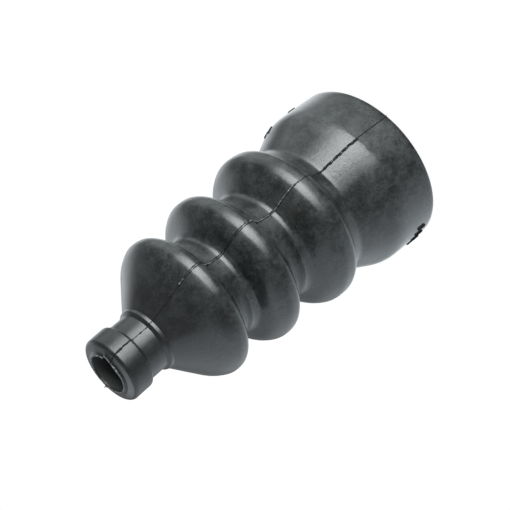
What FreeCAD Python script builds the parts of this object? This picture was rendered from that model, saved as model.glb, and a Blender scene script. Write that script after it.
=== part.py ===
import FreeCAD, Part
import math
import os

import Sketcher
from FreeCAD import Vector

# Rubber bellows boot, in millimetres, standing on its wide end: rim face at z = 0, axis along +Z.
# One moulding of even wall: end band, flared skirt and three folds, then a thick small end with a neck and
# a collar.

SIZES = {
    # wide end: the plain band, and the flare that eases into it
    "skirt_dia": 54.2,
    "band_height": 13.0,
    "flare_height": 14.0,
    "crease_share": 0.9,
    "rim_round": 0.4,
    # wall of the skirt and the folds, and how far a crest falls away on its wide side
    "wall": 1.6,
    "crest_fall": 0.2,
    # low fold, next to the skirt: the foot of the flare, the floor of the valley, then the crest
    "low_valley_dia": 42.6,
    "low_foot_round": 1.0,
    "low_floor_height": 3.2,
    "low_floor_rise": 0.5,
    "low_floor_round": 1.0,
    "low_wall_height": 4.8,
    "low_fold_depth": 4.9,
    "low_under_round": 2.8,
    "low_land_height": 2.4,
    "low_over_round": 6.2,
    "low_flank_height": 10.5,
    # middle fold
    "middle_valley_dia": 36.1,
    "middle_foot_round": 2.2,
    "middle_floor_height": 5.0,
    "middle_floor_rise": 1.55,
    "middle_floor_round": 1.5,
    "middle_wall_height": 4.9,
    "middle_fold_depth": 6.55,
    "middle_under_round": 2.3,
    "middle_land_height": 1.8,
    "middle_over_round": 5.6,
    "middle_flank_height": 9.2,
    # high fold, next to the neck
    "high_valley_dia": 33.1,
    "high_foot_round": 2.0,
    "high_floor_height": 4.1,
    "high_floor_rise": 0.8,
    "high_floor_round": 1.6,
    "high_wall_height": 5.0,
    "high_fold_depth": 6.55,
    "high_under_round": 2.2,
    "high_land_height": 1.9,
    "high_over_round": 5.2,
    "high_flank_height": 14.4,
    # small end: neck for the clamp, bead at its foot, collar and sloping mouth face
    "neck_dia": 18.4,
    "neck_height": 5.75,
    "neck_foot_round": 0.2,
    "neck_top_round": 0.25,
    "bead_depth": 1.05,
    "bead_foot_round": 0.3,
    "bead_height": 0.6,
    "bead_round": 0.6,
    "bead_face_height": 1.2,
    "collar_depth": 0.95,
    "shoulder_height": 0.85,
    "collar_foot_round": 0.4,
    "collar_height": 5.6,
    "collar_top_round": 0.9,
    "mouth_rise": 1.8,
    # bore of the small end, and the throat where the hollow runs into it
    "bore_dia": 12.2,
    "throat_round": 1.0,
    "throat_above_bead": 1.4,
    "mouth_round": 0.2,
}

FOLDS = ("low", "middle", "high")
ORIGIN = (-1, 1)
VERTICAL = -2
START, END, CENTRE = 1, 2, 3

doc = FreeCAD.newDocument("bellows_boot")
sheet = doc.addObject("Spreadsheet::Sheet", "sizes")
for row, (name, value) in enumerate(SIZES.items(), 1):
    sheet.set(f"A{row}", name)
    sheet.set(f"B{row}", str(value))
    sheet.setAlias(f"B{row}", name)
doc.recompute()


def round_at(name, side, surface, radius, rise):
    """One round of the wall: side is 1 on a crest and -1 in a valley, surface is the wall's own distance
    from the axis there, and rise is the height of its centre above the centre before it."""
    across = f"{surface} - {radius}" if side > 0 else f"{surface} + {radius}"
    return {"name": name, "side": side, "across": across, "radius": radius, "rise": rise}


def fold_rounds(fold, rise):
    """The four rounds of a fold, from the foot of its valley to the top of its crest."""
    valley = f"sizes.{fold}_valley_dia / 2"
    crest = f"{valley} + sizes.{fold}_fold_depth"
    floor, under = f"{valley} + sizes.{fold}_floor_rise", f"{crest} - sizes.crest_fall"
    return [
        round_at(f"{fold}_foot", -1, valley, f"sizes.{fold}_foot_round", rise),
        round_at(f"{fold}_floor", -1, floor, f"sizes.{fold}_floor_round", f"sizes.{fold}_floor_height"),
        round_at(f"{fold}_under", 1, under, f"sizes.{fold}_under_round", f"sizes.{fold}_wall_height"),
        round_at(f"{fold}_over", 1, crest, f"sizes.{fold}_over_round", f"sizes.{fold}_land_height"),
    ]


def wall_rounds():
    """The rounds that the outside and the inside of the wall share, from the skirt to the high crest."""
    crease_round = "sizes.flare_height * sizes.crease_share"
    rounds = [round_at("crease", 1, "sizes.skirt_dia / 2", crease_round, "sizes.band_height")]
    rise = "sizes.flare_height"
    for fold in FOLDS:
        rounds += fold_rounds(fold, rise)
        rise = f"sizes.{fold}_flank_height"
    return rounds


def small_end_rounds():
    """The rounds of the small end's outside, from the bead below the neck to the edge of the mouth."""
    neck = "sizes.neck_dia / 2"
    bead, collar = f"{neck} + sizes.bead_depth", f"{neck} + sizes.collar_depth"
    return [
        round_at("bead_foot", -1, bead, "sizes.bead_foot_round", "sizes.high_flank_height"),
        round_at("bead", 1, bead, "sizes.bead_round", "sizes.bead_height"),
        round_at("neck_foot", -1, neck, "sizes.neck_foot_round", "sizes.bead_face_height"),
        round_at("neck_top", -1, neck, "sizes.neck_top_round", "sizes.neck_height"),
        round_at("collar_foot", 1, collar, "sizes.collar_foot_round", "sizes.shoulder_height"),
        round_at("collar_top", 1, collar, "sizes.collar_top_round", "sizes.collar_height"),
    ]


def moved_inwards(rounds):
    """The same rounds on the inside of the wall. Centres stay, crests get tighter and valleys wider."""
    inner = []
    for bend in rounds:
        sign = "-" if bend["side"] > 0 else "+"
        inner.append({**bend, "radius": f"{bend['radius']} {sign} sizes.wall"})
    return inner


def tangent_normals(first, rounds, last):
    """The outward normal of each straight run, as an angle. A run is tangent to the round that it leaves
    and to the one that it meets, and the first and last points are rounds of no radius."""
    stations = [first] + [(bend["x"], bend["y"], bend["side"] * bend["r"]) for bend in rounds] + [last]
    normals = []
    for (x0, y0, r0), (x1, y1, r1) in zip(stations, stations[1:]):
        distance = math.hypot(x1 - x0, y1 - y0)
        normals.append(math.atan2(y1 - y0, x1 - x0) - math.acos((r0 - r1) / distance))
    return normals


def tie(sketch, constraint, name, expression):
    """Adds a dimension to the sketch and ties it to the sheet."""
    index = sketch.addConstraint(constraint)
    sketch.renameConstraint(index, name)
    sketch.setExpression(f"Constraints.{name}", expression)


def new_sketch(body, name):
    sketch = body.newObject("Sketcher::SketchObject", name)
    plane = next(item for item in body.Origin.OriginFeatures if item.Role == "XZ_Plane")
    sketch.AttachmentSupport = (plane, [""])
    sketch.MapMode = "FlatFace"
    return sketch


def half_section(body, name, rounds, rim_across, mouth_across, mouth_rise):
    """A closed half section: out along the rim plane, up the rounds, in at the mouth and down the axis.
    mouth_rise is the height of the mouth point above the last round."""
    sketch = new_sketch(body, name)
    value = sketch.evalExpression
    height = 0.0
    for bend in rounds:
        height += value(bend["rise"])
        bend.update(x=value(bend["across"]), y=height, r=value(bend["radius"]))
    rim, mouth = (value(rim_across), 0.0, 0.0), (value(mouth_across), height + value(mouth_rise), 0.0)
    normals = tangent_normals(rim, rounds, mouth)

    def on_round(bend, normal):
        reach = bend["side"] * bend["r"]
        return Vector(bend["x"] + reach * math.cos(normal), bend["y"] + reach * math.sin(normal), 0)

    def add_run(start, end):
        return sketch.addGeometry(Part.LineSegment(start, end), False)

    axis_foot, rim_point = Vector(0, 0, 0), Vector(rim[0], rim[1], 0)
    bottom = add_run(axis_foot, rim_point)
    sketch.addConstraint(Sketcher.Constraint("Coincident", bottom, START, *ORIGIN))
    sketch.addConstraint(Sketcher.Constraint("Horizontal", bottom))
    tie(sketch, Sketcher.Constraint("DistanceX", *ORIGIN, bottom, END, rim[0]), "rim_across", rim_across)
    runs_from, previous = rim_point, None
    for bend, normal, following in zip(rounds, normals, normals[1:]):
        run = add_run(runs_from, on_round(bend, normal))
        if previous is None:
            sketch.addConstraint(Sketcher.Constraint("Coincident", bottom, END, run, START))
            below = ORIGIN
        else:
            sketch.addConstraint(Sketcher.Constraint("Tangent", *previous["leaves"], run, START))
            below = (previous["arc"], CENTRE)
        turn = (normal, following) if bend["side"] > 0 else (following + math.pi, normal + math.pi)
        circle = Part.Circle(Vector(bend["x"], bend["y"], 0), Vector(0, 0, 1), bend["r"])
        arc = sketch.addGeometry(Part.ArcOfCircle(circle, *turn), False)
        enters, leaves = (START, END) if bend["side"] > 0 else (END, START)
        sketch.addConstraint(Sketcher.Constraint("Tangent", run, END, arc, enters))
        radius = Sketcher.Constraint("Radius", arc, bend["r"])
        tie(sketch, radius, f"{bend['name']}_radius", bend["radius"])
        across = Sketcher.Constraint("DistanceX", *ORIGIN, arc, CENTRE, bend["x"])
        tie(sketch, across, f"{bend['name']}_across", bend["across"])
        rise = Sketcher.Constraint("DistanceY", *below, arc, CENTRE, value(bend["rise"]))
        tie(sketch, rise, f"{bend['name']}_rise", bend["rise"])
        runs_from, previous = on_round(bend, following), {"arc": arc, "leaves": (arc, leaves)}

    mouth_point, axis_top = Vector(mouth[0], mouth[1], 0), Vector(0, mouth[1], 0)
    last = add_run(runs_from, mouth_point)
    sketch.addConstraint(Sketcher.Constraint("Tangent", *previous["leaves"], last, START))
    across = Sketcher.Constraint("DistanceX", *ORIGIN, last, END, mouth[0])
    tie(sketch, across, "mouth_across", mouth_across)
    rise = Sketcher.Constraint("DistanceY", previous["arc"], CENTRE, last, END, value(mouth_rise))
    tie(sketch, rise, "mouth_rise", mouth_rise)
    top = add_run(mouth_point, axis_top)
    sketch.addConstraint(Sketcher.Constraint("Coincident", last, END, top, START))
    sketch.addConstraint(Sketcher.Constraint("Horizontal", top))
    sketch.addConstraint(Sketcher.Constraint("PointOnObject", top, END, VERTICAL))
    axis = add_run(axis_top, axis_foot)
    sketch.addConstraint(Sketcher.Constraint("Coincident", top, END, axis, START))
    sketch.addConstraint(Sketcher.Constraint("Coincident", axis, END, bottom, START))
    return sketch


def turned(body, kind, name, sketch):
    """A full turn of the sketch about the axis: a Revolution adds it and a Groove cuts it."""
    feature = body.newObject(kind, name)
    feature.Profile = sketch
    feature.ReferenceAxis = (sketch, ["V_Axis"])
    feature.Angle = 360.0
    sketch.Visibility = False
    doc.recompute()
    return feature


def rounded_edges(body, name, base, heights, size):
    """Fillets the circular edges of base that lie level at one of the heights."""
    edges = []
    for number, edge in enumerate(base.Shape.Edges, 1):
        box = edge.BoundBox
        level = box.ZLength < 1e-6 and any(abs(box.ZMin - height) < 1e-6 for height in heights)
        if level and isinstance(edge.Curve, Part.Circle):
            edges.append(f"Edge{number}")
    fillet = body.newObject("PartDesign::Fillet", name)
    fillet.Base = (base, edges)
    fillet.setExpression("Radius", size)
    doc.recompute()
    return fillet


boot = doc.addObject("PartDesign::Body", "bellows_boot")
boot.Label = "bellows_boot"
boot.Placement = FreeCAD.Placement(Vector(0, 0, 0), FreeCAD.Rotation())

outside = half_section(
    boot,
    "outside",
    wall_rounds() + small_end_rounds(),
    "sizes.skirt_dia / 2",
    "sizes.bore_dia / 2",
    "sizes.mouth_rise",
)
solid = turned(boot, "PartDesign::Revolution", "turned_outside", outside)
total_height = solid.Shape.BoundBox.ZMax

throat_height = "sizes.high_flank_height + sizes.throat_above_bead"
throat = round_at("throat", -1, "sizes.bore_dia / 2", "sizes.throat_round", throat_height)
bore_height = (
    "sizes.bead_height + sizes.bead_face_height + sizes.neck_height + sizes.shoulder_height"
    " + sizes.collar_height + sizes.mouth_rise - sizes.throat_above_bead"
)
inside = half_section(
    boot,
    "inside",
    moved_inwards(wall_rounds()) + [throat],
    "sizes.skirt_dia / 2 - sizes.wall",
    "sizes.bore_dia / 2",
    bore_height,
)
hollow = turned(boot, "PartDesign::Groove", "hollow", inside)

rim = rounded_edges(boot, "rounded_rim", hollow, [0.0], "sizes.rim_round")
mouth = rounded_edges(boot, "rounded_mouth", rim, [total_height], "sizes.mouth_round")
boot.Tip = mouth
doc.recompute()

for item in doc.Objects:
    if {"Invalid", "Error"} & set(item.State):
        raise RuntimeError(f"{item.Name} failed: {item.State}")
for sketch in (outside, inside):
    if sketch.solve() != 0 or not sketch.FullyConstrained:
        raise RuntimeError(f"{sketch.Name} isn't fully constrained")
if not hollow.Shape.Volume < 0.7 * solid.Shape.Volume:
    raise RuntimeError("the hollow was not cut")
shape = boot.Shape
if shape.isNull() or not shape.isValid() or len(shape.Solids) != 1:
    raise RuntimeError("the boot isn't one valid solid")

os.makedirs("parts", exist_ok=True)
shape.exportStep(os.path.join("parts", f"{boot.Label}.step"))
print(f"{boot.Label}: {shape.Volume:.0f} cubic mm, {len(shape.Faces)} faces, {total_height:.2f} mm high")
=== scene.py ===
import math

import bmesh
import bpy
from mathutils import Matrix, Vector


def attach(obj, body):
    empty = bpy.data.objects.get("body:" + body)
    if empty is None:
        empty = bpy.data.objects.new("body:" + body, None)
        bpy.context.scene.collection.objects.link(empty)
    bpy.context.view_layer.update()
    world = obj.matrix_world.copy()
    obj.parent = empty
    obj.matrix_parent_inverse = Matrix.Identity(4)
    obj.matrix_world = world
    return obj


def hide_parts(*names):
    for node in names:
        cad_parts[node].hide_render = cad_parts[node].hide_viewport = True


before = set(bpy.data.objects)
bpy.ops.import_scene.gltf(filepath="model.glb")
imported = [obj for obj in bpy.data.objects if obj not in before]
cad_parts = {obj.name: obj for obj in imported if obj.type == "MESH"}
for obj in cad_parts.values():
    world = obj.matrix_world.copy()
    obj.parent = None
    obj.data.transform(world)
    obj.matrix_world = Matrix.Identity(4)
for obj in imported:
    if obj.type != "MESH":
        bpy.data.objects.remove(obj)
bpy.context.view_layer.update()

# Boot wall: one shot of black rubber, moulded round a core in a mould of two halves. It is turned from a half
# section, so each fold is the same all the way round, and the wall is even but for the thick small end.
# Out of the mould it is limp: it leans a little, and the lip of the mouth is torn at one side.

MM = 0.001
WALL = 1.6
SKIRT, NECK, BORE, MOUTH_HEIGHT = 27.3, 9.2, 6.1, 110.0
LIP_HEIGHT = MOUTH_HEIGHT - 0.1
RIM_EDGE, RIM_FACET = 0.4, 0.12
ROUNDS_APART = 0.02


def crest(reach, under, under_height, over, over_height, turn, flank):
    """The rounds under and over a crest, and the wide one of its flank, which starts at a turn above level.

    The flank's round is a hair smaller than one that touches the crest's, so that a short line joins them.
    """
    angle = math.radians(turn)
    middle = reach - over - (flank - over) * math.cos(angle)
    height = over_height - (flank - over) * math.sin(angle)
    wide = flank - ROUNDS_APART
    return [(1, reach, under, under_height), (1, reach, over, over_height), (1, middle + wide, wide, height)]


# Each round: 1 on a crest or -1 in a valley, the wall's reach from the axis, radius, height of its centre.
# From the rim up: the flare, the two rounds at its foot, and three crests with two rounds in each valley.
WALL_ROUNDS = [
    (1, SKIRT, 12.6, 13.0),
    (-1, 22.1, 2.8, 27.6),
    (-1, 22.5, 1.0, 30.2),
    *crest(26.36, 3.8, 36.0, 4.5, 37.55, 24.0, 8.25),
    (-1, 18.05, 2.6, 47.3),
    (-1, 19.6, 1.5, 52.9),
    *crest(24.75, 3.3, 58.8, 4.0, 59.72, 24.0, 7.32),
    (-1, 16.55, 2.4, 68.45),
    (-1, 17.35, 1.6, 72.9),
    *crest(23.3, 3.0, 78.7, 3.1, 79.5, 23.0, 11.81),
]
# The small end: bead, neck, collar, and the sloping face of the mouth with its lip.
SMALL_END_ROUNDS = [
    (-1, 10.25, 0.3, 94.2),
    (1, 10.25, 0.6, 94.8),
    (-1, NECK, 0.2, 96.0),
    (-1, NECK, 0.25, 101.75),
    (1, 10.3, 0.8, 102.98),
    (1, 10.3, 1.2, 108.15),
    (-1, 6.9, 0.8, 110.5),
    (1, 6.64, 0.22, MOUTH_HEIGHT + 0.06),
]
THROAT_ROUND = (-1, BORE, 1.0, 95.6)


def outline(first, rounds, last, step=math.radians(9), run=1.1):
    """Points from first to last: straight runs, tangent to the rounds, and each round in short steps."""
    stations = [(*first, 0.0)]
    for side, reach, radius, height in rounds:
        stations.append((reach - side * radius, height, side * radius))
    stations.append((*last, 0.0))
    normals = []
    for (x0, y0, r0), (x1, y1, r1) in zip(stations, stations[1:]):
        turn = math.acos((r0 - r1) / math.hypot(x1 - x0, y1 - y0))
        normals.append((math.atan2(y1 - y0, x1 - x0) - turn + math.pi) % (2 * math.pi) - math.pi)
    points = [first]
    for (x, y, r), before, after in zip(stations[1:-1], normals, normals[1:]):
        (x0, y0), (x1, y1) = points[-1], (x + r * math.cos(before), y + r * math.sin(before))
        pieces = max(1, round(math.hypot(x1 - x0, y1 - y0) / run))
        points += [(x0 + (x1 - x0) * i / pieces, y0 + (y1 - y0) * i / pieces) for i in range(1, pieces + 1)]
        steps = max(2, math.ceil(abs(after - before) / step))
        for i in range(1, steps + 1):
            angle = before + (after - before) * i / steps
            points.append((x + r * math.cos(angle), y + r * math.sin(angle)))
    return points + [last]


outer = outline((SKIRT, RIM_EDGE), WALL_ROUNDS + SMALL_END_ROUNDS, (BORE, LIP_HEIGHT))
core_rounds = [(side, reach - WALL, size - side * WALL, height) for side, reach, size, height in WALL_ROUNDS]
core = outline((SKIRT - WALL, RIM_EDGE), core_rounds + [THROAT_ROUND], (BORE, LIP_HEIGHT - 0.1))
rim_inside = [(SKIRT - WALL + RIM_FACET, RIM_FACET), (SKIRT - WALL + RIM_EDGE, 0.0)]
rim_outside = [(SKIRT - RIM_EDGE, 0.0), (SKIRT - RIM_FACET, RIM_FACET)]
section = outer + core[::-1] + rim_inside + rim_outside + outer[:1]


def section_mesh(name, points, inside=()):
    """A line of points in the XZ plane, from distance and height in millimetres. Those inside are marked."""
    mesh = bpy.data.meshes.new(name)
    edges = [(i, i + 1) for i in range(len(points) - 1)]
    mesh.from_pydata([(r * MM, 0, z * MM) for r, z in points], edges, [])
    mark = mesh.attributes.new("inside", "FLOAT", "POINT")
    for i in inside:
        mark.data[i].value = 1.0
    return mesh


MATH, VECTORS, RANGE = "ShaderNodeMath", "ShaderNodeVectorMath", "ShaderNodeMapRange"
NOISE, MIX = "ShaderNodeTexNoise", "ShaderNodeMix"


def add_node(tree, kind, inputs=(), output=0, **settings):
    """Adds a node and gives back one of its outputs. An input is a value, or the output that feeds it."""
    node = tree.nodes.new(kind)
    for key, value in settings.items():
        setattr(node, key, value)
    for key, value in inputs.items() if isinstance(inputs, dict) else enumerate(inputs):
        if isinstance(value, bpy.types.NodeSocket):
            tree.links.new(value, node.inputs[key])
        else:
            node.inputs[key].default_value = value
    return node.outputs[output] if node.outputs else node


def tree_with(name, *inputs):
    """A geometry tree with a Geometry input and output and the named inputs, each a name and a kind."""
    tree = bpy.data.node_groups.new(name, "GeometryNodeTree")
    tree.interface.new_socket("Geometry", in_out="OUTPUT", socket_type="NodeSocketGeometry")
    for label, kind in (("Geometry", "Geometry"), *inputs):
        tree.interface.new_socket(label, in_out="INPUT", socket_type=f"NodeSocket{kind}")
    return tree, tree.nodes.new("NodeGroupInput").outputs, tree.nodes.new("NodeGroupOutput").inputs[0]


def grown(name, mesh, tree, values):
    """The mesh run through the tree, as a plain object, with the tree's named inputs set first."""
    piece = bpy.data.objects.new(name, mesh)
    bpy.context.scene.collection.objects.link(piece)
    modifier = piece.modifiers.new("shape", "NODES")
    modifier.node_group = tree
    for item in tree.interface.items_tree:
        if item.in_out == "INPUT" and item.name in values:
            modifier[item.identifier] = values[item.name]
    bpy.context.view_layer.update()
    graph = bpy.context.evaluated_depsgraph_get()
    plain = bpy.data.meshes.new_from_object(piece.evaluated_get(graph))
    piece.modifiers.clear()
    piece.data = plain
    return piece


def faced_outwards(piece):
    """Turns every face of a closed piece outwards."""
    shell = bmesh.new()
    shell.from_mesh(piece.data)
    bmesh.ops.recalc_face_normals(shell, faces=shell.faces)
    shell.to_mesh(piece.data)
    shell.free()


# How the limp rubber lies: where each moulded place has moved to, for the wall and for all that stands on it.
# The boot leans, its neck and skirt hang back from that lean, and its wall is nowhere quite round.
# Distances and heights are in millimetres, and the twist is complete at one height and gone at the other.
LEAN, NECK_SAG, SKIRT_SAG = 3.0, -1.15, -0.65
SLACK, WAVES_PER_METRE = 0.30, 55.0
LEAN_BEARING, SKIRT_TWIST = math.radians(74.1), math.radians(-1.0)
TWIST_FULL, TWIST_NONE = 8.0, 30.0
NECK_HANGS_FROM, SKIRT_HANGS_FROM = 68.0, 40.0
# The lip is pulled outwards over the torn stretch, more and more, and snaps back at its end.
TEAR_START, TEAR_END, TEAR_DEPTH = math.radians(-10), math.radians(21), 1.3
LIP_FOOT, LIP_TOP, LIP_INSIDE, LIP_OUTSIDE = 107.5, 109.8, 6.2, 8.8
lie = bpy.data.node_groups.new("lie of the rubber", "GeometryNodeTree")
lie.interface.new_socket("Place", in_out="INPUT", socket_type="NodeSocketVector")
lie.interface.new_socket("Moved", in_out="OUTPUT", socket_type="NodeSocketVector")
place = lie.nodes.new("NodeGroupInput").outputs["Place"]
px, py, pz = add_node(lie, "ShaderNodeSeparateXYZ", (place,)).node.outputs
skirt_heights = (pz, TWIST_FULL * MM, TWIST_NONE * MM, 1.0, 0.0)
skirt_part = add_node(lie, RANGE, skirt_heights, interpolation_type="SMOOTHSTEP")
twist = add_node(lie, MATH, (skirt_part, SKIRT_TWIST), operation="MULTIPLY")
twisted = add_node(lie, "ShaderNodeVectorRotate", {"Vector": place, "Angle": twist}, rotation_type="Z_AXIS")
flat = add_node(lie, "ShaderNodeCombineXYZ", (px, py))
radius = add_node(lie, VECTORS, (flat,), "Value", operation="LENGTH")
outward = add_node(lie, VECTORS, (flat,), operation="NORMALIZE")
bearing = add_node(lie, MATH, (py, px), operation="ARCTAN2")
up_the_boot = add_node(lie, MATH, (pz, LEAN / MOUTH_HEIGHT), operation="MULTIPLY")
up_the_neck = add_node(lie, RANGE, (pz, NECK_HANGS_FROM * MM, MOUTH_HEIGHT * MM, 0.0, 1.0))
sag = add_node(lie, MATH, (up_the_neck, up_the_neck), operation="MULTIPLY")
neck_lean = add_node(lie, MATH, (sag, NECK_SAG * MM, up_the_boot), operation="MULTIPLY_ADD")
down_the_skirt = add_node(lie, RANGE, (pz, SKIRT_HANGS_FROM * MM, 0.0, 0.0, 1.0))
lean = add_node(lie, MATH, (down_the_skirt, SKIRT_SAG * MM, neck_lean), operation="MULTIPLY_ADD")
way = (math.cos(LEAN_BEARING), math.sin(LEAN_BEARING), 0)
leant = add_node(lie, VECTORS, {0: way, "Scale": lean}, operation="SCALE")
lip_heights = (pz, LIP_FOOT * MM, LIP_TOP * MM, 0.0, 1.0)
at_mouth = add_node(lie, RANGE, lip_heights, interpolation_type="SMOOTHSTEP")
lip_reaches = (radius, LIP_INSIDE * MM, LIP_OUTSIDE * MM, 1.0, 0.0)
at_bore = add_node(lie, RANGE, lip_reaches, interpolation_type="SMOOTHSTEP")
tear_in = add_node(lie, RANGE, (bearing, TEAR_START, TEAR_END - 0.08, 0.0, 1.0))
tear_out = add_node(lie, RANGE, (bearing, TEAR_END - 0.04, TEAR_END + 0.05, TEAR_DEPTH * MM, 0.0))
tear = add_node(lie, MATH, (tear_in, tear_out), operation="MULTIPLY")
lip = add_node(lie, MATH, (at_mouth, at_bore), operation="MULTIPLY")
wander = add_node(lie, NOISE, {"Vector": place, "Scale": WAVES_PER_METRE, "Detail": 1.0})
slack = add_node(lie, RANGE, (wander, 0.0, 1.0, -SLACK / 2 * MM, SLACK / 2 * MM))
outwards = add_node(lie, MATH, (tear, lip, slack), operation="MULTIPLY_ADD")
pushed = add_node(lie, VECTORS, {0: outward, "Scale": outwards}, operation="SCALE")
shift = add_node(lie, VECTORS, (leant, pushed), operation="ADD")
moved = add_node(lie, VECTORS, (twisted, shift), operation="ADD")
lie.links.new(moved, lie.nodes.new("NodeGroupOutput").inputs[0])


def lay_down(tree, shape, rubber, out):
    """Ends a tree: every point goes where the limp rubber lies, and the shape is made real, of one rubber."""
    moulded_at = add_node(tree, "GeometryNodeInputPosition")
    lying = add_node(tree, "GeometryNodeGroup", (moulded_at,), node_tree=lie)
    laid = add_node(tree, "GeometryNodeSetPosition", {0: shape, 2: lying})
    smooth = add_node(tree, "GeometryNodeSetShadeSmooth", (laid,))
    real = add_node(tree, "GeometryNodeRealizeInstances", (smooth,))
    tree.links.new(add_node(tree, "GeometryNodeSetMaterial", {0: real, 2: rubber}), out)


def linear(code):
    """The linear colour of an sRGB hex code."""
    parts = [int(code[i : i + 2], 16) / 255 for i in (1, 3, 5)]
    return [c / 12.92 if c <= 0.04045 else ((c + 0.055) / 1.055) ** 2.4 for c in parts] + [1.0]


# Black rubber, moulded in machined steel: a soft gloss, thinly waxed by the mould release, that is cloudy and
# faintly streaked where the release has dried, pitted beside the mould line on the flare, finely creased in
# the valleys, dusted with a few specks, and matt inside, where the core was rough. Inside it is also coloured
# a lighter grey, painted light that stands for light reaching into the shaded bore.
# These are its patterns' sizes in millimetres. The grain is drawn coarser than it is, so that it shows.
CLOUD, STREAK, PIT, GRAIN, CREASE, SPECK = 4.2, 1.5, 1.1, 0.45, 0.55, 3.0
# How deep they are in millimetres, the pits and the grain once on most of the skin and once beside the line.
CLOUD_DEPTH, CREASE_DEPTH, PIT_DEPTHS, GRAIN_DEPTHS = 0.055, 0.05, (0.022, 0.085), (0.009, 0.026)
SPECK_PART, SPECK_RARITY = 0.055, 0.92
WAXED, DRIED, CORE_SIDE_PAINTED_LIGHT, DUST = "#131413", "#323636", "#4a4d4b", "#7d807e"
# Heights in millimetres: where the flare's pitted patch starts and ends, and where the folds end.
PATCH_FOOT, PATCH_TOP, FOLDS_END = 12.8, 26.8, 78.0
# How much the crests draw in for each millimetre up the boot.
CRESTS_TAPER = 0.072
rubber = bpy.data.materials.new("black_moulded_rubber")
rubber.use_nodes = True
skin = rubber.node_tree
skin.nodes.clear()
moulded = add_node(skin, "ShaderNodeAttribute", (), "Vector", attribute_name="moulded")
inside = add_node(skin, "ShaderNodeAttribute", (), "Fac", attribute_name="inside")
from_front, from_line, from_rim = add_node(skin, "ShaderNodeSeparateXYZ", (moulded,)).node.outputs
off_line = add_node(skin, MATH, (from_line,), operation="ABSOLUTE")
cloud_look = {"Vector": moulded, "Scale": 1 / (CLOUD * MM), "Detail": 5.0, "Roughness": 0.62}
cloud = add_node(skin, NOISE, cloud_look)
round_it = add_node(skin, MATH, (from_line, from_front), operation="ARCTAN2")
streak_look = {
    "Vector": moulded,
    "Scale": 1 / (STREAK * MM),
    "Detail": 4.0,
    "Roughness": 0.65,
    "Distortion": 1.6,
}
streak = add_node(skin, NOISE, streak_look)
pits = add_node(skin, NOISE, {"Vector": moulded, "Scale": 1 / (PIT * MM), "Detail": 3.0})
grain = add_node(skin, NOISE, {"Vector": moulded, "Scale": 1 / (GRAIN * MM), "Detail": 2.0})
beside_line = (off_line, 4.0 * MM, 7.5 * MM, 1.0, 0.0)
by_line = add_node(skin, RANGE, beside_line, interpolation_type="SMOOTHSTEP")
below_folds = add_node(skin, RANGE, (from_rim, PATCH_TOP * MM, (PATCH_TOP - 1.3) * MM, 0.0, 1.0))
above_band = add_node(skin, RANGE, (from_rim, PATCH_FOOT * MM, (PATCH_FOOT + 1.2) * MM, 0.0, 1.0))
on_flare = add_node(skin, MATH, (below_folds, above_band), operation="MULTIPLY")
pitted = add_node(skin, MATH, (by_line, on_flare), operation="MULTIPLY")
pit_depth = add_node(skin, RANGE, (pitted, 0.0, 1.0, PIT_DEPTHS[0] * MM, PIT_DEPTHS[1] * MM))
pit_relief = add_node(skin, MATH, (pits, pit_depth), operation="MULTIPLY")
cloud_relief = add_node(skin, MATH, (cloud, CLOUD_DEPTH * MM, pit_relief), operation="MULTIPLY_ADD")
grain_depth = add_node(skin, RANGE, (pitted, 0.0, 1.0, GRAIN_DEPTHS[0] * MM, GRAIN_DEPTHS[1] * MM))
grain_relief = add_node(skin, MATH, (grain, grain_depth, cloud_relief), operation="MULTIPLY_ADD")
# A valley is where the skin lies well inside the taper that the three crests share.
sideways_out = add_node(skin, "ShaderNodeCombineXYZ", (from_front, from_line))
off_axis = add_node(skin, VECTORS, (sideways_out,), "Value", operation="LENGTH")
to_crests = add_node(skin, MATH, (from_rim, CRESTS_TAPER, off_axis), operation="MULTIPLY_ADD")
sunk = add_node(skin, RANGE, (to_crests, 25.4 * MM, 23.0 * MM, 0.0, 1.0))
below_neck = add_node(skin, RANGE, (from_rim, (FOLDS_END - 4.0) * MM, FOLDS_END * MM, 1.0, 0.0))
in_valley = add_node(skin, MATH, (sunk, below_neck), operation="MULTIPLY")
crease_round = add_node(skin, MATH, (round_it, 5.0), operation="MULTIPLY")
crease_up = add_node(skin, MATH, (from_rim, 1 / (CREASE * MM), round_it), operation="MULTIPLY_ADD")
crease_at = add_node(skin, "ShaderNodeCombineXYZ", (crease_round, crease_up))
crease = add_node(skin, NOISE, {"Vector": crease_at, "Scale": 1.0, "Detail": 2.0})
crease_depth = add_node(skin, MATH, (in_valley, CREASE_DEPTH * MM), operation="MULTIPLY")
relief = add_node(skin, MATH, (crease, crease_depth, grain_relief), operation="MULTIPLY_ADD")
bump = add_node(skin, "ShaderNodeBump", {"Strength": 1.0, "Distance": 1.0, "Height": relief})
film = add_node(skin, MATH, (cloud, streak), operation="MULTIPLY")
# Hands have wiped the dried release off toward the small end, where the boot is held.
wiped = add_node(skin, RANGE, (from_rim, 80.0 * MM, 91.0 * MM, 1.0, 0.35))
film_here = add_node(skin, RANGE, {0: film, 1: 0.18, 2: 0.34, 4: wiped})
film_colours = {0: film_here, 6: linear(WAXED), 7: linear(DRIED)}
outer_tone = add_node(skin, MIX, film_colours, 2, data_type="RGBA")
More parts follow.
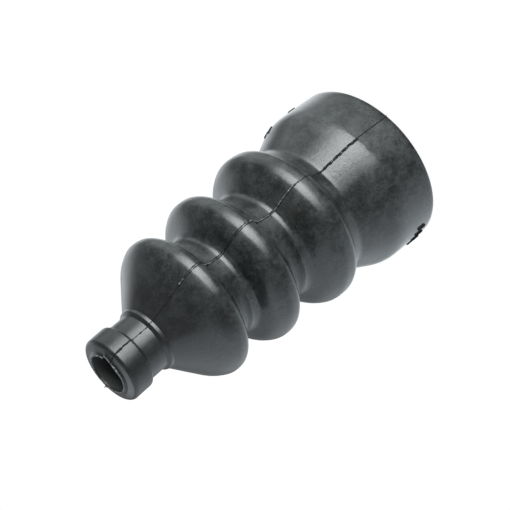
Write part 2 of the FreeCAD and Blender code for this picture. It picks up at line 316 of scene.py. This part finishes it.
# Painted light: the inside is coloured a lighter grey, standing for light that reaches into the bore.
tone = add_node(skin, MIX, {0: inside, 6: outer_tone, 7: linear(CORE_SIDE_PAINTED_LIGHT)}, 2, data_type="RGBA")
cell = add_node(skin, "ShaderNodeTexVoronoi", {"Vector": moulded, "Scale": 1 / (SPECK * MM)}, "Distance")
cell_at = add_node(skin, "ShaderNodeTexVoronoi", {"Vector": moulded, "Scale": 1 / (SPECK * MM)}, "Position")
chance = add_node(skin, "ShaderNodeTexWhiteNoise", (cell_at,), noise_dimensions="3D")
near = add_node(skin, MATH, (cell, SPECK_PART), operation="LESS_THAN")
rare = add_node(skin, MATH, (chance, SPECK_RARITY), operation="GREATER_THAN")
dusty = add_node(skin, MATH, (near, rare), operation="MULTIPLY")
specked = add_node(skin, MIX, {0: dusty, 6: tone, 7: linear(DUST)}, 2, data_type="RGBA")
gloss = add_node(skin, RANGE, (cloud, 0.35, 0.68, 0.30, 0.42))
dull = add_node(skin, MIX, {0: inside, 2: gloss, 3: 0.62}, data_type="FLOAT")
# The wax is worn thinner on the neck and the collar.
worn = add_node(skin, RANGE, (from_rim, 94.0 * MM, 103.0 * MM, 0.75, 0.42))
wax = add_node(skin, RANGE, {0: inside, 3: worn, 4: 0.0})
skin_shader = add_node(
    skin,
    "ShaderNodeBsdfPrincipled",
    {
        "Base Color": specked,
        "Roughness": dull,
        "Normal": bump,
        "IOR": 1.52,
        "Coat Weight": wax,
        "Coat Roughness": 0.17,
        "Coat Normal": bump,
    },
)
add_node(skin, "ShaderNodeOutputMaterial", (skin_shader,))

wall_tree, wall_in, wall_out = tree_with("turned wall", ("Columns", "Int"), ("Rubber", "Material"))
section_line, columns = wall_in["Geometry"], wall_in["Columns"]
rows = add_node(wall_tree, "GeometryNodeAttributeDomainSize", (section_line,), "Point Count")
grid = add_node(wall_tree, "GeometryNodeMeshGrid", {2: rows, 3: columns})
index = add_node(wall_tree, "GeometryNodeInputIndex")
row_number = add_node(wall_tree, MATH, (index, columns), operation="DIVIDE")
row = add_node(wall_tree, MATH, (row_number,), operation="FLOOR")
column = add_node(wall_tree, MATH, (index, columns), operation="MODULO")
steps_round = add_node(wall_tree, MATH, (columns, 1.0), operation="SUBTRACT")
part_turn = add_node(wall_tree, MATH, (column, steps_round), operation="DIVIDE")
turn = add_node(wall_tree, MATH, (part_turn, 2 * math.pi), operation="MULTIPLY")
here = add_node(wall_tree, "GeometryNodeInputPosition")
section_there = (section_line, here, row)
on_section = add_node(wall_tree, "GeometryNodeSampleIndex", section_there, data_type="FLOAT_VECTOR")
side = add_node(wall_tree, "GeometryNodeInputNamedAttribute", ("inside",), data_type="FLOAT")
side_there = add_node(wall_tree, "GeometryNodeSampleIndex", (section_line, side, row), data_type="FLOAT")
about_the_axis = {"Vector": on_section, "Angle": turn}
turned = add_node(wall_tree, "ShaderNodeVectorRotate", about_the_axis, rotation_type="Z_AXIS")
as_moulded = {0: grid, "Name": "moulded", "Value": turned}
kept = add_node(wall_tree, "GeometryNodeStoreNamedAttribute", as_moulded, data_type="FLOAT_VECTOR")
marks = {0: kept, "Name": "inside", "Value": side_there}
marked = add_node(wall_tree, "GeometryNodeStoreNamedAttribute", marks)
rounded = add_node(wall_tree, "GeometryNodeSetPosition", {0: marked, 2: turned})
closed = add_node(wall_tree, "GeometryNodeMergeByDistance", {0: rounded, "Distance": 0.004 * MM})
lay_down(wall_tree, closed, wall_in["Rubber"], wall_out)

# As many columns as keep the wall under 200,000 triangles, the last of them on the first.
COLUMNS = 257
core_points = range(len(outer), len(outer) + len(core))
boot_section = section_mesh("boot_section", section, core_points)
boot = grown("boot_wall", boot_section, wall_tree, {"Columns": COLUMNS, "Rubber": rubber})
faced_outwards(boot)
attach(boot, "root")
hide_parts("bellows_boot")

# Mould line: where the two halves of the mould met, rubber crept between them and was left as a ragged
# thread. It runs down both sides, over the collar and every fold. Over the folds, in places, a second dark
# strand beside it is painted shade and a pale ridge between them is painted highlight: together they draw the
# shaded side and the lit top of one raised thread. It is heavier on the collar and on the flare of the skirt.
LINE_THREAD, HEAVY_THREAD, THREAD_STEP = 0.16, 0.28, 0.09
# In degrees round the boot: from the line to its second strand, and to where the line runs on the flare.
STRANDS_APART, FLARE_STEPS_ASIDE = 1.3, -0.9
# How many sways, lumps and gaps there are in a metre of thread.
SWAYS, LUMPS, GAPS = 650.0, 1150.0, 240.0

# Torn flash: rubber that tore where the mould opened, rough and without wax, so it looks duller. It is
# coloured darker than the skin as painted shade, standing for the shadow on and beside the thin raised
# thread, and its crumbs vary its tone at random.
TORN_CRUMB, TORN_RELIEF, FLASH_PAINTED_SHADE, FLASH_PAINTED_SHADE_PALE = 0.4, 0.05, "#080908", "#242626"
flash = bpy.data.materials.new("dull_flash_painted_shade")
flash.use_nodes = True
torn = flash.node_tree
torn.nodes.clear()
torn_at = add_node(torn, "ShaderNodeTexCoord", (), "Object")
crumbs = add_node(torn, NOISE, {"Vector": torn_at, "Scale": 1 / (TORN_CRUMB * MM), "Detail": 3.0})
# Painted shade: the flash is coloured darker than the skin, for the shadow of the thin thread.
flash_shade_colours = {0: crumbs, 6: linear(FLASH_PAINTED_SHADE), 7: linear(FLASH_PAINTED_SHADE_PALE)}
flash_shade_tone = add_node(torn, MIX, flash_shade_colours, 2, data_type="RGBA")
torn_relief = add_node(torn, MATH, (crumbs, TORN_RELIEF * MM), operation="MULTIPLY")
torn_bump = add_node(torn, "ShaderNodeBump", {"Strength": 1.0, "Distance": 1.0, "Height": torn_relief})
torn_look = {"Base Color": flash_shade_tone, "Roughness": 0.7, "Specular IOR Level": 0.25, "Normal": torn_bump}
add_node(torn, "ShaderNodeOutputMaterial", (add_node(torn, "ShaderNodeBsdfPrincipled", torn_look),))

# Pale rubber: where the knife opened the skin at the lip its filler shows, so it looks grey and chalky, and
# the pale tone there is raised further as a painted highlight on the thin edge. On the ridge of the mould
# line it is all painted highlight, the light on the top of the raised thread.
CUT_CRUMB, CUT_AND_HIGHLIGHT_DARK, CUT_AND_HIGHLIGHT_PALE = 0.6, "#3a3c3c", "#8c9090"
cut_and_highlight = bpy.data.materials.new("pale_cut_rubber_painted_highlight")
cut_and_highlight.use_nodes = True
cut_skin = cut_and_highlight.node_tree
cut_skin.nodes.clear()
cut_at = add_node(cut_skin, "ShaderNodeTexCoord", (), "Object")
crumb = add_node(cut_skin, NOISE, {"Vector": cut_at, "Scale": 1 / (CUT_CRUMB * MM), "Detail": 3.0})
bloom = add_node(cut_skin, RANGE, (crumb, 0.35, 0.65, 0.0, 1.0))
# Painted highlight: the pale end of this tone stands for light on the thin lip and on the top of the mould
# line's ridge.
cut_colours = {0: bloom, 6: linear(CUT_AND_HIGHLIGHT_DARK), 7: linear(CUT_AND_HIGHLIGHT_PALE)}
cut_and_highlight_tone = add_node(cut_skin, MIX, cut_colours, 2, data_type="RGBA")
cut_look = {"Base Color": cut_and_highlight_tone, "Roughness": 0.5, "IOR": 1.5}
add_node(cut_skin, "ShaderNodeOutputMaterial", (add_node(cut_skin, "ShaderNodeBsdfPrincipled", cut_look),))

thread_tree, thread_in, thread_out = tree_with(
    "thread of flash",
    ("Thickness", "Float"),
    ("Step", "Float"),
    ("Wander", "Float"),
    ("Broken", "Float"),
    ("Taper", "Float"),
    ("Bearing", "Float"),
    ("Seed", "Float"),
    ("Rubber", "Material"),
)
line_of_it = add_node(thread_tree, "GeometryNodeMeshToCurve", (thread_in["Geometry"],))
even_steps = {"Curve": line_of_it, "Length": thread_in["Step"]}
fine_line = add_node(thread_tree, "GeometryNodeResampleCurve", even_steps, mode="LENGTH")
spot_on_it = add_node(thread_tree, "GeometryNodeInputPosition")
anywhere = {"Vector": spot_on_it, "W": thread_in["Seed"]}
sway_size = {**anywhere, "Scale": SWAYS, "Detail": 3.0}
sway = add_node(thread_tree, NOISE, sway_size, noise_dimensions="4D")
sway_low = add_node(thread_tree, MATH, (sway, 0.5), operation="SUBTRACT")
sway_far = add_node(thread_tree, MATH, (sway_low, thread_in["Wander"]), operation="MULTIPLY")
sideways = add_node(thread_tree, "ShaderNodeCombineXYZ", {1: sway_far})
swayed = add_node(thread_tree, "GeometryNodeSetPosition", {0: fine_line, 3: sideways})
lumps = add_node(thread_tree, NOISE, {**anywhere, "Scale": LUMPS, "Detail": 2.0}, noise_dimensions="4D")
missing = add_node(thread_tree, NOISE, {**anywhere, "Scale": GAPS, "Detail": 1.0}, noise_dimensions="4D")
gone = add_node(thread_tree, MATH, (missing, thread_in["Broken"]), operation="LESS_THAN")
pieces = add_node(thread_tree, "GeometryNodeDeleteGeometry", (swayed, gone), domain="POINT")
done = add_node(thread_tree, "GeometryNodeSplineParameter", (), "Length")
whole = add_node(thread_tree, "GeometryNodeSplineLength", (), "Length")
left_over = add_node(thread_tree, MATH, (whole, done), operation="SUBTRACT")
nearest_end = add_node(thread_tree, MATH, (done, left_over), operation="MINIMUM")
end_part = add_node(thread_tree, MATH, (nearest_end, thread_in["Taper"]), operation="DIVIDE")
end_full = add_node(thread_tree, MATH, (end_part, 1.0), operation="MINIMUM")
end_size = add_node(thread_tree, MATH, (end_full, 0.12), operation="MAXIMUM")
lump_size = add_node(thread_tree, RANGE, (lumps, 0.3, 0.7, 0.45, 1.5))
lumpy = add_node(thread_tree, MATH, (lump_size, thread_in["Thickness"]), operation="MULTIPLY")
thread_radius = add_node(thread_tree, MATH, (lumpy, end_size), operation="MULTIPLY")
ring = add_node(thread_tree, "GeometryNodeCurvePrimitiveCircle", {0: 7, "Radius": 1.0})
sweep = {0: pieces, 1: ring, "Scale": thread_radius, "Fill Caps": True}
swept = add_node(thread_tree, "GeometryNodeCurveToMesh", sweep)
round_to = add_node(thread_tree, "ShaderNodeCombineXYZ", {2: thread_in["Bearing"]})
brought_round = add_node(thread_tree, "GeometryNodeTransform", {0: swept, "Rotation": round_to})
lay_down(thread_tree, brought_round, thread_in["Rubber"], thread_out)


def thread(name, points, thickness, bearing, seed, wander=0.16, broken=0.0, taper=0.6, rubber=flash):
    """A thread of torn rubber along points, each a distance and a height, turned to a bearing in degrees."""
    values = {
        "Thickness": thickness * MM,
        "Step": THREAD_STEP * MM,
        "Wander": wander * MM,
        "Broken": broken,
        "Taper": taper * MM,
        "Bearing": math.radians(bearing),
        "Seed": seed,
        "Rubber": rubber,
    }
    piece = grown(name, section_mesh(name, points), thread_tree, values)
    faced_outwards(piece)
    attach(piece, "root")


# The line stops short of the lip, where the trim begins.
down_the_side = outer[:-4]
over_the_folds = [(r, z) for r, z in outer if 29.0 < z < 86.0]
on_the_collar = [(r, z) for r, z in outer if 102.3 < z < 109.0 and r > 9.5]
on_the_flare = [(r, z) for r, z in outer if 12.5 < z < 29.5]
for side_name, at in (("near", 0.0), ("far", 180.0)):
    thread(f"mould_line_{side_name}", down_the_side, LINE_THREAD, at, 1.0 + at)
    pair, between = at + STRANDS_APART, at + STRANDS_APART / 2
    # Painted shade and painted highlight: a dark strand and a pale ridge beside the line stand for its shaded
    # side and its lit top.
    thread(f"shaded_strand_{side_name}", over_the_folds, LINE_THREAD, pair, 11.0 + at, 0.2, 0.55)
    thread(f"ridge_{side_name}", over_the_folds, LINE_THREAD, between, 17.0 + at, 0.3, 0.55, rubber=cut_and_highlight)
    thread(f"collar_flash_{side_name}", on_the_collar, HEAVY_THREAD, at, 7.3 + at, 0.5, 0.38)
    stepped = at + FLARE_STEPS_ASIDE
    thread(f"flare_flash_{side_name}", on_the_flare, HEAVY_THREAD, stepped, 4.1 + at, 0.5, 0.42)

# Nibs: ends of the mould line that stick out past an edge, where the trimming knife left them.
# They are short limp slivers of the same torn rubber, coloured dark as painted shade like the line, two at
# the rim and one at the collar.
rim_nib = [(SKIRT - 0.3, 0.45), (SKIRT + 0.35, 0.4), (SKIRT + 0.6, 0.62), (SKIRT + 0.85, 0.55)]
collar_nib = [(9.4, 108.8), (10.0, 109.2), (10.25, 109.55), (10.2, 109.8)]
thread("rim_nib_near", rim_nib, 0.22, 0.0, 2.0, 0.1, 0.0, 1.2)
thread("rim_nib_far", rim_nib, 0.16, 180.0, 3.0, 0.1, 0.0, 1.2)
thread("collar_nib_far", collar_nib, 0.48, 177.0, 5.0, 0.1, 0.0, 1.0)

# Lip trim: the mouth was cut open after moulding, and the knife left a thin ragged edge round the bore.
# It is of the same rubber, grey where it is cut, and paler still as a painted highlight along the thin edge.
LIP_POINTS, LIP_REACH, LIP_CENTRE, LIP_THICKNESS = 240, 6.42, 110.24, 0.25
LIP_LUMPS, LIP_SWAYS, LIP_SWAY = 420.0, 700.0, 0.3
lip_tree, lip_in, lip_out = tree_with(
    "trimmed lip", ("Reach", "Float"), ("Height", "Float"), ("Thickness", "Float"), ("Rubber", "Material")
)
lip_ring = add_node(lip_tree, "GeometryNodeCurvePrimitiveCircle", {0: LIP_POINTS, "Radius": lip_in["Reach"]})
lip_up = add_node(lip_tree, "ShaderNodeCombineXYZ", {2: lip_in["Height"]})
lip_raised = add_node(lip_tree, "GeometryNodeTransform", {0: lip_ring, "Translation": lip_up})
lip_spot = add_node(lip_tree, "GeometryNodeInputPosition")
ragged = add_node(lip_tree, NOISE, {"Vector": lip_spot, "Scale": LIP_LUMPS, "Detail": 4.0})
ragged_size = add_node(lip_tree, RANGE, (ragged, 0.3, 0.7, 0.35, 1.5))
lip_size = add_node(lip_tree, MATH, (ragged_size, lip_in["Thickness"]), operation="MULTIPLY")
ragged_way = add_node(lip_tree, NOISE, {"Vector": lip_spot, "Scale": LIP_SWAYS, "Detail": 2.0}, 1)
ragged_low = add_node(lip_tree, VECTORS, (ragged_way, (0.5, 0.5, 0.5)), operation="SUBTRACT")
ragged_far = add_node(lip_tree, VECTORS, {0: ragged_low, "Scale": LIP_SWAY * MM}, operation="SCALE")
lip_wavy = add_node(lip_tree, "GeometryNodeSetPosition", {0: lip_raised, 3: ragged_far})
lip_round = add_node(lip_tree, "GeometryNodeCurvePrimitiveCircle", {0: 8, "Radius": 1.0})
lip_swept = add_node(lip_tree, "GeometryNodeCurveToMesh", {0: lip_wavy, 1: lip_round, "Scale": lip_size})
lay_down(lip_tree, lip_swept, lip_in["Rubber"], lip_out)
lip_values = {
    "Reach": LIP_REACH * MM,
    "Height": LIP_CENTRE * MM,
    "Thickness": LIP_THICKNESS * MM,
    "Rubber": cut_and_highlight,
}
lip_edge = grown("lip_trim", bpy.data.meshes.new("lip_trim"), lip_tree, lip_values)
faced_outwards(lip_edge)
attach(lip_edge, "root")

# Raised bars: short plain ribs of the same rubber on the end band and the flare, in rows. They come from
# grooves that a small round tool cut into the mould and nobody polished, so they are as dull as the flash,
# and they take its darker colour, painted shade.
BAR_WIDTH, BAR_PROUD = 1.1, 0.55
bar_tree, bar_in, bar_out = tree_with(
    "row of bars",
    ("Count", "Int"),
    ("First bearing", "Float"),
    ("Bearing step", "Float"),
    ("Reach", "Float"),
    ("Height", "Float"),
    ("Slope", "Float"),
    ("Size", "Vector"),
    ("Rubber", "Material"),
)
block = add_node(bar_tree, "GeometryNodeMeshCube", {"Size": bar_in["Size"], 1: 3, 2: 3, 3: 5})
eased = add_node(bar_tree, "GeometryNodeSubdivisionSurface", {0: block, "Level": 2})
one_bar = add_node(bar_tree, "GeometryNodeSetShadeSmooth", (eased,))
row_of_points = add_node(bar_tree, "GeometryNodeMeshLine", {"Count": bar_in["Count"]})
number = add_node(bar_tree, "GeometryNodeInputIndex")
bearing_steps = (number, bar_in["Bearing step"], bar_in["First bearing"])
bar_bearing = add_node(bar_tree, MATH, bearing_steps, operation="MULTIPLY_ADD")
bar_place = add_node(bar_tree, "ShaderNodeCombineXYZ", {0: bar_in["Reach"], 2: bar_in["Height"]})
round_the_rim = {"Vector": bar_place, "Angle": bar_bearing}
bar_round = add_node(bar_tree, "ShaderNodeVectorRotate", round_the_rim, rotation_type="Z_AXIS")
bar_points = add_node(bar_tree, "GeometryNodeSetPosition", {0: row_of_points, 2: bar_round})
bar_turn = add_node(bar_tree, "ShaderNodeCombineXYZ", {1: bar_in["Slope"], 2: bar_bearing})
a_bar_each = {"Points": bar_points, "Instance": one_bar, "Rotation": bar_turn}
bars = add_node(bar_tree, "GeometryNodeInstanceOnPoints", a_bar_each)
bars_real = add_node(bar_tree, "GeometryNodeRealizeInstances", (bars,))
lay_down(bar_tree, bars_real, bar_in["Rubber"], bar_out)

# Each row: name, how many, first bearing and step in degrees, distance and height, slope, length of a bar.
BAR_ROWS = [
    ("band_bars", 4, -106.0, 7.0, SKIRT, 4.8, 0.0, 3.2),
    ("band_bars_high", 2, 77.0, 7.0, SKIRT + 0.05, 6.4, 0.0, 3.0),
    ("flare_bars", 2, 77.0, 7.0, 26.4, 17.0, -19.0, 2.8),
]
# Painted shade: each row is made of the darker flash rubber.
for name, count, first, step, reach, height, slope, length in BAR_ROWS:
    values = {
        "Count": count,
        "First bearing": math.radians(first),
        "Bearing step": math.radians(step),
        "Reach": reach * MM,
        "Height": height * MM,
        "Slope": math.radians(slope),
        "Size": (2 * BAR_PROUD * MM, BAR_WIDTH * MM, length * MM),
        "Rubber": flash,
    }
    bar_row = grown(name, bpy.data.meshes.new(name), bar_tree, values)
    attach(bar_row, "root")

# Floor: a table top of matt white laminate, which looks plain white and still takes the boot's shadow.
# It throws no light on the boot, because the photographed boot was lying down and had its table elsewhere.
FLOOR_REACH, FLOOR_GLOW = 3.0, 0.93
table_mesh = bpy.data.meshes.new("table_top")
corners = [(-1, -1), (1, -1), (1, 1), (-1, 1)]
table_mesh.from_pydata([(x * FLOOR_REACH, y * FLOOR_REACH, 0) for x, y in corners], [], [(0, 1, 2, 3)])
table = bpy.data.objects.new("table_top", table_mesh)
bpy.context.scene.collection.objects.link(table)
table.visible_diffuse = table.visible_glossy = table.visible_shadow = False
laminate = bpy.data.materials.new("matt_white_laminate")
laminate.use_nodes = True
top = laminate.node_tree
top.nodes.clear()
seen = add_node(top, "ShaderNodeLightPath", (), "Is Camera Ray")
glow = add_node(top, MATH, (seen, FLOOR_GLOW), operation="MULTIPLY")
lit = add_node(top, "ShaderNodeEmission", {"Color": linear("#ffffff"), "Strength": glow})
matt = add_node(top, "ShaderNodeBsdfDiffuse", {"Color": linear("#7c7c7c")})
add_node(top, "ShaderNodeOutputMaterial", (add_node(top, "ShaderNodeAddShader", (lit, matt)),))
table_mesh.materials.append(laminate)

# Studio: the light is that of the boot as it lay, so it is turned up with the boot. A big soft box hung over
# it and spilt down its flank, a white table lay under and behind it, and pale walls stood beyond its sides.
ROOM_LIGHT = 0.24
world = bpy.data.worlds.new("studio")
bpy.context.scene.world = world
world.use_nodes = True
room = world.node_tree
room.nodes.clear()
to_camera = add_node(room, "ShaderNodeLightPath", (), "Is Camera Ray")
air = add_node(room, MIX, {0: to_camera, 2: ROOM_LIGHT, 3: 1.0}, data_type="FLOAT")
around = add_node(room, "ShaderNodeBackground", {"Color": linear("#f6faff"), "Strength": air})
add_node(room, "ShaderNodeOutputWorld", (around,))

MIDDLE = Vector((0, 0, 0.055))
# Each box: name, bearing and elevation in degrees, distance, width and height in metres, brightness in its
# middle, the part of its half width and of its half height that is even, and its colour. Past the even part
# it fades to its edges.
BOXES = [
    ("overhead_box", 11.0, -4.3, 0.80, 1.50, 0.825, 6.9, 0.0, 0.86, "#fbffff"),
    ("overhead_spill", 66.0, -19.0, 0.90, 1.70, 1.10, 0.68, 0.30, 0.40, "#f8ffff"),
    ("table_bounce", -121.0, -4.0, 0.20, 0.56, 1.2, 0.74, 0.10, 0.60, "#ecf6fd"),
    ("side_wall", 137.0, 4.0, 0.9, 0.95, 1.3, 0.85, 0.10, 0.50, "#f2f9fd"),
    ("far_wall", 172.0, 38.0, 0.9, 0.7, 0.7, 1.2, 0.20, 0.30, "#f2f9fd"),
    ("table_behind", 152.0, -50.0, 0.50, 0.9, 0.62, 1.1, 0.30, 0.30, "#f6fbff"),
]
for name, box_bearing, elevation, distance, width, height, brightness, even_wide, even_high, tint in BOXES:
    lamp = bpy.data.lights.new(name, "AREA")
    lamp.shape, lamp.size, lamp.size_y = "RECTANGLE", width, height
    lamp.energy = brightness * math.pi * width * height
    lamp.color = linear(tint)[:3]
    lamp.use_nodes = True
    cloth = lamp.node_tree
    cloth.nodes.clear()
    across = add_node(cloth, "ShaderNodeNewGeometry", (), "Parametric")
    sides = add_node(cloth, "ShaderNodeSeparateXYZ", (across,)).node.outputs
    strength = 1.0
    for output, even in zip(sides, (even_wide, even_high)):
        from_middle = add_node(cloth, MATH, (output, 0.5), operation="SUBTRACT")
        edge_near = add_node(cloth, MATH, (from_middle,), operation="ABSOLUTE")
        to_edge = (edge_near, even / 2, 0.5, 1.0, 0.0)
        fade = add_node(cloth, RANGE, to_edge, interpolation_type="SMOOTHSTEP")
        strength = add_node(cloth, MATH, (fade, strength), operation="MULTIPLY")
    glowing = add_node(cloth, "ShaderNodeEmission", {"Strength": strength})
    add_node(cloth, "ShaderNodeOutputLight", (glowing,))
    box = bpy.data.objects.new(name, lamp)
    a, e = math.radians(box_bearing), math.radians(elevation)
    out = Vector((math.cos(a) * math.cos(e), math.sin(a) * math.cos(e), math.sin(e)))
    box.location = MIDDLE + out * distance
    box.rotation_euler = out.to_track_quat("Z", "Y").to_euler()
    box.visible_camera = False
    bpy.context.scene.collection.objects.link(box)

# Camera: the photograph's view, from beyond the small end, with the boot's axis aslant in the picture.
# Focal length and picture width are in pixels, and the place is counted from the mouth in millimetres.
VIEW_BEARING, VIEW_ELEVATION, VIEW_ROLL = math.radians(-15.93), math.radians(29.09), math.radians(40.53)
FOCAL, PICTURE, SENSOR = 1450.2, 510.0, 36.0
FROM_MOUTH = Vector((39.41, 34.22, 401.2)) * MM
upright = Vector((0, 0, 1))
level = Vector((math.cos(VIEW_BEARING), math.sin(VIEW_BEARING), 0))
aside = upright.cross(level)
down_the_axis = math.sin(VIEW_ELEVATION) * level - math.cos(VIEW_ELEVATION) * upright
back = math.cos(VIEW_ELEVATION) * level + math.sin(VIEW_ELEVATION) * upright
right = math.cos(VIEW_ROLL) * down_the_axis - math.sin(VIEW_ROLL) * aside
up = math.sin(VIEW_ROLL) * down_the_axis + math.cos(VIEW_ROLL) * aside
pose = Matrix((right, up, back)).transposed()
lens = bpy.data.cameras.new("view")
lens.sensor_width = SENSOR
lens.lens = FOCAL * SENSOR / PICTURE
lens.clip_start, lens.clip_end = 0.01, 20.0
camera = bpy.data.objects.new("view", lens)
bpy.context.scene.collection.objects.link(camera)
mouth = Vector((0, 0, MOUTH_HEIGHT * MM))
camera.matrix_world = Matrix.Translation(mouth + pose @ FROM_MOUTH) @ pose.to_4x4()
bpy.context.scene.camera = camera

bpy.context.scene.view_settings.view_transform = "Standard"
